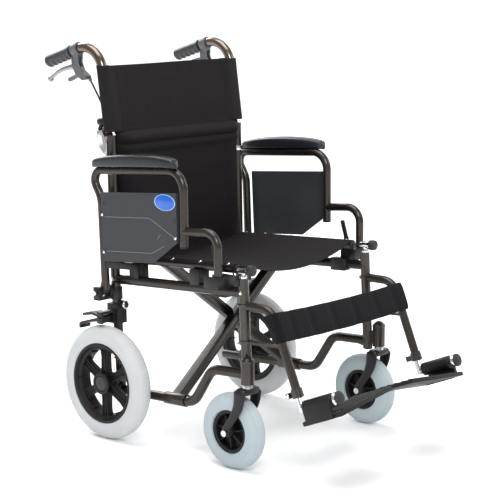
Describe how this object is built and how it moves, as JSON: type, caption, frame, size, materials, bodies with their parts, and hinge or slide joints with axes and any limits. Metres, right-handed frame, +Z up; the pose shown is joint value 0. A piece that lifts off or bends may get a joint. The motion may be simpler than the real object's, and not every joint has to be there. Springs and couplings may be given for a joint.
{
  "type": "manual wheelchair",
  "caption": "Folding attendant-pushed wheelchair with small rear wheels, casters, flip-up arms, swing-away legrests and a fold-down back with push handles.",
  "frame": {"origin": "on the floor, under the centre of the bounding box", "axes": "+Z up; the chair faces -Y; the sitter's left is +X"},
  "size_m": [0.632, 1.0052, 1.0241],
  "materials": {
    "frame": "glossy dark bronze paint",
    "black_metal": "satin black",
    "black_plastic": "moulded, satin",
    "chrome": "polished",
    "alloy": "cast, polished",
    "tyre": "light grey solid tyre",
    "rubber": "soft ribbed grip",
    "pad": "soft moulded skin",
    "panel": "fine texture",
    "fabric": "coated woven nylon",
    "cable": "cable sleeve"
  },
  "bodies": {
    "right_frame": {"right_side_frame": "frame", "right_rear_axle": "chrome", "right_rail_fittings": "black_metal", "right_back_hinge": "chrome", "right_brake_bracket": "black_metal", "right_brake_cable": "cable", "back_panel": "fabric"},
    "right_rear_wheel": {"right_rear_rim": "black_plastic", "right_rear_tyre": "tyre"},
    "right_brake": {"right_brake_shoe": "black_metal"},
    "right_caster_fork": {"right_caster_fork": "black_metal", "right_caster_axle": "chrome"},
    "right_caster_wheel": {"right_caster_rim": "black_plastic", "right_caster_tyre": "tyre"},
    "right_arm": {"right_arm_tube": "frame", "right_arm_pad": "pad", "right_side_panel": "panel"},
    "right_arm_lever": {"right_arm_lever": "black_plastic"},
    "right_back": {"right_back_cane": "frame", "right_back_lock": "black_plastic", "right_push_grip": "rubber", "right_lever_bracket": "black_metal", "back_flap": "fabric"},
    "right_hand_lever": {"right_hand_lever": "alloy"},
    "right_legrest": {"right_legrest_hanger": "frame", "calf_strap": "fabric"},
    "right_legrest_plunger": {"right_legrest_plunger": "chrome"},
    "right_lower_leg": {"right_lower_leg": "chrome"},
    "right_footplate": {"right_footplate": "black_plastic"},
    "left_frame": {"left_side_frame": "frame", "left_rear_axle": "chrome", "left_rail_fittings": "black_metal", "left_back_hinge": "chrome", "left_brake_bracket": "black_metal", "left_brake_cable": "cable"},
    "left_rear_wheel": {"left_rear_rim": "black_plastic", "left_rear_tyre": "tyre"},
    "left_brake": {"left_brake_shoe": "black_metal"},
    "left_caster_fork": {"left_caster_fork": "black_metal", "left_caster_axle": "chrome"},
    "left_caster_wheel": {"left_caster_rim": "black_plastic", "left_caster_tyre": "tyre"},
    "left_arm": {"left_arm_tube": "frame", "left_arm_pad": "pad", "left_side_panel": "panel"},
    "left_arm_lever": {"left_arm_lever": "black_plastic"},
    "left_back": {"left_back_cane": "frame", "left_back_lock": "black_plastic", "left_push_grip": "rubber", "left_lever_bracket": "black_metal"},
    "left_hand_lever": {"left_hand_lever": "alloy"},
    "left_legrest": {"left_legrest_hanger": "frame"},
    "left_legrest_plunger": {"left_legrest_plunger": "chrome"},
    "left_lower_leg": {"left_lower_leg": "chrome"},
    "left_footplate": {"left_footplate": "black_plastic"},
    "front_brace": {"front_brace": "frame", "brace_bolt": "chrome", "seat_sling": "fabric"},
    "rear_brace": {"rear_brace": "frame"}
  },
  "joints": [
    {"name": "frame_fold", "type": "hinge", "parent": "right_frame", "child": "front_brace", "pos_m": [-0.24, 0.05165, 0.12984], "axis": [0, -0.9988, 0.0488], "range_deg": [0, 38.2], "deforming": ["seat_sling", "back_panel"]},
    {"name": "cross_pivot", "type": "hinge", "parent": "front_brace", "child": "rear_brace", "pos_m": [0, 0.06041, 0.30886], "axis": [0, -0.9988, 0.0488], "range_deg": [-76.5, 0.1]},
    {"name": "left_frame_pivot", "type": "hinge", "parent": "rear_brace", "child": "left_frame", "pos_m": [0.24, 0.05165, 0.12984], "axis": [0, -0.9988, 0.0488], "range_deg": [-0.1, 38.3]},
    {"name": "right_rear_wheel_spin", "type": "hinge", "parent": "right_frame", "child": "right_rear_wheel", "pos_m": [-0.289, 0.24286, 0.15], "axis": [1, 0, 0], "continuous": true},
    {"name": "right_caster_swivel", "type": "hinge", "parent": "right_frame", "child": "right_caster_fork", "pos_m": [-0.262, -0.2232, 0.2], "axis": [0, 0, 1], "continuous": true},
    {"name": "right_caster_spin", "type": "hinge", "parent": "right_caster_fork", "child": "right_caster_wheel", "pos_m": [-0.262, -0.1782, 0.095], "axis": [1, 0, 0], "continuous": true},
    {"name": "right_arm_flip", "type": "hinge", "parent": "right_frame", "child": "right_arm", "pos_m": [-0.278, 0.2613, 0.386], "axis": [-1, 0, 0], "range_deg": [0, 100]},
    {"name": "right_arm_release", "type": "hinge", "parent": "right_frame", "child": "right_arm_lever", "pos_m": [-0.254, -0.1207, 0.462], "axis": [-1, 0, 0], "range_deg": [0, 20], "stiffness_Nm_per_rad": 0.6},
    {"name": "right_back_fold", "type": "hinge", "parent": "right_frame", "child": "right_back", "pos_m": [-0.242, 0.2863, 0.79], "axis": [-1, 0, 0], "range_deg": [0, 90], "deforming": ["right_brake_cable", "back_flap"]},
    {"name": "right_hand_brake", "type": "hinge", "parent": "right_back", "child": "right_hand_lever", "pos_m": [-0.242, 0.3853, 0.96], "axis": [1, 0, 0], "range_deg": [0, 10], "stiffness_Nm_per_rad": 2},
    {"name": "right_brake_shoe", "type": "hinge", "parent": "right_frame", "child": "right_brake", "pos_m": [-0.282, 0.2503, 0.32], "axis": [-1, 0, 0], "range_deg": [-0.1, 5.1]},
    {"name": "right_legrest_swing", "type": "hinge", "parent": "right_frame", "child": "right_legrest", "pos_m": [-0.24, -0.19874, 0.31229], "axis": [0, -0.0488, -0.9988], "range_deg": [0, 100], "deforming": ["calf_strap"]},
    {"name": "right_legrest_release", "type": "slide", "parent": "right_frame", "child": "right_legrest_plunger", "axis": [0, 0.0488, 0.9988], "range_m": [0, 0.01], "stiffness_N_per_m": 400},
    {"name": "right_leg_length", "type": "slide", "parent": "right_legrest", "child": "right_lower_leg", "axis": [0, -0.3811, -0.9245], "range_m": [0, 0.06]},
    {"name": "right_footplate_flip", "type": "hinge", "parent": "right_lower_leg", "child": "right_footplate", "pos_m": [-0.24, -0.3757, 0.1815], "axis": [0, -0.9245, 0.3811], "range_deg": [-0.1, 88]},
    {"name": "left_rear_wheel_spin", "type": "hinge", "parent": "left_frame", "child": "left_rear_wheel", "pos_m": [0.289, 0.24286, 0.15], "axis": [1, 0, 0], "continuous": true},
    {"name": "left_caster_swivel", "type": "hinge", "parent": "left_frame", "child": "left_caster_fork", "pos_m": [0.262, -0.2232, 0.2], "axis": [0, 0, 1], "continuous": true},
    {"name": "left_caster_spin", "type": "hinge", "parent": "left_caster_fork", "child": "left_caster_wheel", "pos_m": [0.262, -0.1782, 0.095], "axis": [1, 0, 0], "continuous": true},
    {"name": "left_arm_flip", "type": "hinge", "parent": "left_frame", "child": "left_arm", "pos_m": [0.278, 0.2613, 0.386], "axis": [-1, 0, 0], "range_deg": [0, 100]},
    {"name": "left_arm_release", "type": "hinge", "parent": "left_frame", "child": "left_arm_lever", "pos_m": [0.254, -0.1207, 0.462], "axis": [-1, 0, 0], "range_deg": [0, 20], "stiffness_Nm_per_rad": 0.6},
    {"name": "left_back_fold", "type": "hinge", "parent": "left_frame", "child": "left_back", "pos_m": [0.242, 0.2863, 0.79], "axis": [-1, 0, 0], "range_deg": [-0.1, 90.1], "deforming": ["left_brake_cable"]},
    {"name": "left_hand_brake", "type": "hinge", "parent": "left_back", "child": "left_hand_lever", "pos_m": [0.242, 0.3853, 0.96], "axis": [1, 0, 0], "range_deg": [0, 10], "stiffness_Nm_per_rad": 2},
    {"name": "left_brake_shoe", "type": "hinge", "parent": "left_frame", "child": "left_brake", "pos_m": [0.282, 0.2503, 0.32], "axis": [-1, 0, 0], "range_deg": [-0.1, 5.1]},
    {"name": "left_legrest_swing", "type": "hinge", "parent": "left_frame", "child": "left_legrest", "pos_m": [0.24, -0.19874, 0.31229], "axis": [0, 0.0488, 0.9988], "range_deg": [0, 100]},
    {"name": "left_legrest_release", "type": "slide", "parent": "left_frame", "child": "left_legrest_plunger", "axis": [0, 0.0488, 0.9988], "range_m": [0, 0.01], "stiffness_N_per_m": 400},
    {"name": "left_leg_length", "type": "slide", "parent": "left_legrest", "child": "left_lower_leg", "axis": [0, -0.3811, -0.9245], "range_m": [0, 0.06]},
    {"name": "left_footplate_flip", "type": "hinge", "parent": "left_lower_leg", "child": "left_footplate", "pos_m": [0.24, -0.3757, 0.1815], "axis": [0, 0.9245, -0.3811], "range_deg": [-0.1, 88]}
  ],
  "couplings": [
    {"joint": "cross_pivot", "follows": "frame_fold", "ratio": -2},
    {"joint": "left_frame_pivot", "follows": "frame_fold", "ratio": 1},
    {"joint": "left_back_fold", "follows": "right_back_fold", "ratio": 1},
    {"joint": "right_brake_shoe", "follows": "right_hand_brake", "ratio": 0.5},
    {"joint": "right_footplate_flip", "follows": "frame_fold", "ratio": 2.3},
    {"joint": "left_brake_shoe", "follows": "left_hand_brake", "ratio": 0.5},
    {"joint": "left_footplate_flip", "follows": "frame_fold", "ratio": 2.3}
  ]
}
